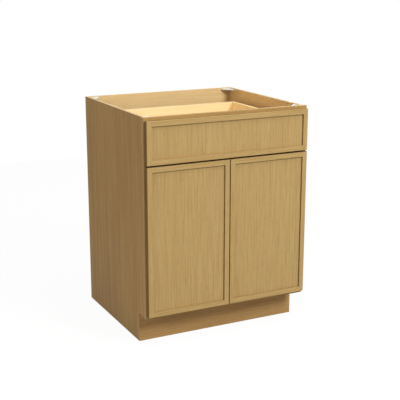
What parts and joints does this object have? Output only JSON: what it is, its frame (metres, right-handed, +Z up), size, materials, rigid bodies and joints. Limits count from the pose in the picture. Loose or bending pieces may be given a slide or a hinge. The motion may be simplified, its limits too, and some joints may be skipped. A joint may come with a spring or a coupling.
{
  "type": "kitchen base cabinet",
  "caption": "Framed kitchen base cabinet with an open top, a slim shaker drawer on soft-running runners over a pair of slim shaker doors on concealed hinges, and a recessed toe board.",
  "frame": {"origin": "middle of the closed cabinet's box on the floor plane", "axes": "+Z up, +X to the right seen from the front, -Y out of the doors and drawer"},
  "size_m": [0.6858, 0.6292, 0.8763],
  "materials": {
    "stained_front": "light stained rift-cut wood with fine straight grain, satin varnish",
    "stained_case": "light stained wood veneer with fine grain, satin varnish",
    "case_interior": "clear finished light plywood",
    "drawer_maple": "clear finished solid maple",
    "packing_wood": "planed unfinished hardwood",
    "white_plastic": "moulded white plastic",
    "grey_plastic": "moulded grey plastic",
    "clear_rubber": "translucent soft pad",
    "zinc_steel": "zinc plated sheet steel",
    "nickel_steel": "nickel plated steel"
  },
  "bodies": {
    "case": {"back_panel": "case_interior", "bottom_panel": "case_interior", "bottom_rail": "stained_front", "corner_braces": "white_plastic", "hinge_arms_left": "nickel_steel", "hinge_arms_right": "nickel_steel", "lower_nailer": "case_interior", "middle_rail": "stained_front", "runner_block_left": "packing_wood", "runner_block_right": "packing_wood", "runner_fixed_left": "zinc_steel", "runner_fixed_right": "zinc_steel", "shelf": "case_interior", "shelf_pegs": "zinc_steel", "side_panel_left": "stained_case", "side_panel_right": "stained_case", "stile_left": "stained_front", "stile_right": "stained_front", "toe_board": "stained_case", "top_nailer": "case_interior", "top_rail": "stained_front"},
    "drawer": {"drawer_bottom": "drawer_maple", "drawer_box_back": "drawer_maple", "drawer_box_front": "drawer_maple", "drawer_bumpers": "clear_rubber", "drawer_front_left_stile": "stained_front", "drawer_front_low_rail": "stained_front", "drawer_front_panel": "stained_front", "drawer_front_right_stile": "stained_front", "drawer_front_top_rail": "stained_front", "drawer_side_left": "drawer_maple", "drawer_side_right": "drawer_maple", "runner_catches": "grey_plastic", "runner_drawer_left": "zinc_steel", "runner_drawer_right": "zinc_steel"},
    "runner_carriages": {"runner_middle_left": "zinc_steel", "runner_middle_right": "zinc_steel", "runner_shoes": "white_plastic"},
    "release_lever_left": {"release_lever_left": "grey_plastic"},
    "release_lever_right": {"release_lever_right": "grey_plastic"},
    "door_left": {"door_bumpers_left": "clear_rubber", "door_inner_stile_left": "stained_front", "door_low_rail_left": "stained_front", "door_outer_stile_left": "stained_front", "door_panel_left": "stained_front", "door_top_rail_left": "stained_front", "hinge_cups_left": "nickel_steel"},
    "outer_links_left": {"hinge_outer_links_left": "nickel_steel"},
    "inner_links_left": {"hinge_inner_links_left": "nickel_steel"},
    "door_right": {"door_bumpers_right": "clear_rubber", "door_inner_stile_right": "stained_front", "door_low_rail_right": "stained_front", "door_outer_stile_right": "stained_front", "door_panel_right": "stained_front", "door_top_rail_right": "stained_front", "hinge_cups_right": "nickel_steel"},
    "outer_links_right": {"hinge_outer_links_right": "nickel_steel"},
    "inner_links_right": {"hinge_inner_links_right": "nickel_steel"}
  },
  "joints": [
    {"name": "drawer_slide", "type": "slide", "parent": "case", "child": "drawer", "axis": [0, -1, 0], "range_m": [0, 0.49]},
    {"name": "carriage_slide", "type": "slide", "parent": "case", "child": "runner_carriages", "axis": [0, -1, 0], "range_m": [0, 0.245]},
    {"name": "release_lever_left_press", "type": "hinge", "parent": "drawer", "child": "release_lever_left", "pos_m": [-0.2408, -0.25265, 0.7358], "axis": [0, 0, -1], "range_deg": [0, 15], "stiffness_Nm_per_rad": 0.02},
    {"name": "door_left_outer_links", "type": "hinge", "parent": "case", "child": "outer_links_left", "pos_m": [-0.30105, -0.29615, 0.41375], "axis": [0, 0, 1], "range_deg": [0, 30]},
    {"name": "door_left_swing", "type": "hinge", "parent": "outer_links_left", "child": "door_left", "pos_m": [-0.3286, -0.29755, 0.41375], "axis": [0, 0, -1], "range_deg": [0, 130]},
    {"name": "door_left_inner_links", "type": "hinge", "parent": "case", "child": "inner_links_left", "pos_m": [-0.3137, -0.3055, 0.41375], "axis": [0, 0, 1], "range_deg": [0, 37]},
    {"name": "release_lever_right_press", "type": "hinge", "parent": "drawer", "child": "release_lever_right", "pos_m": [0.2408, -0.25265, 0.7358], "axis": [0, 0, 1], "range_deg": [0, 15], "stiffness_Nm_per_rad": 0.02},
    {"name": "door_right_outer_links", "type": "hinge", "parent": "case", "child": "outer_links_right", "pos_m": [0.30105, -0.29615, 0.41375], "axis": [0, 0, -1], "range_deg": [0, 30]},
    {"name": "door_right_swing", "type": "hinge", "parent": "outer_links_right", "child": "door_right", "pos_m": [0.3286, -0.29755, 0.41375], "axis": [0, 0, 1], "range_deg": [0, 130]},
    {"name": "door_right_inner_links", "type": "hinge", "parent": "case", "child": "inner_links_right", "pos_m": [0.3137, -0.3055, 0.41375], "axis": [0, 0, -1], "range_deg": [0, 37]}
  ],
  "couplings": [
    {"joint": "carriage_slide", "follows": "drawer_slide", "ratio": 0.5},
    {"joint": "door_left_outer_links", "follows": "door_left_swing", "ratio": 0.23077},
    {"joint": "door_left_inner_links", "follows": "door_left_swing", "ratio": 0.28462},
    {"joint": "door_right_outer_links", "follows": "door_right_swing", "ratio": 0.23077},
    {"joint": "door_right_inner_links", "follows": "door_right_swing", "ratio": 0.28462}
  ]
}
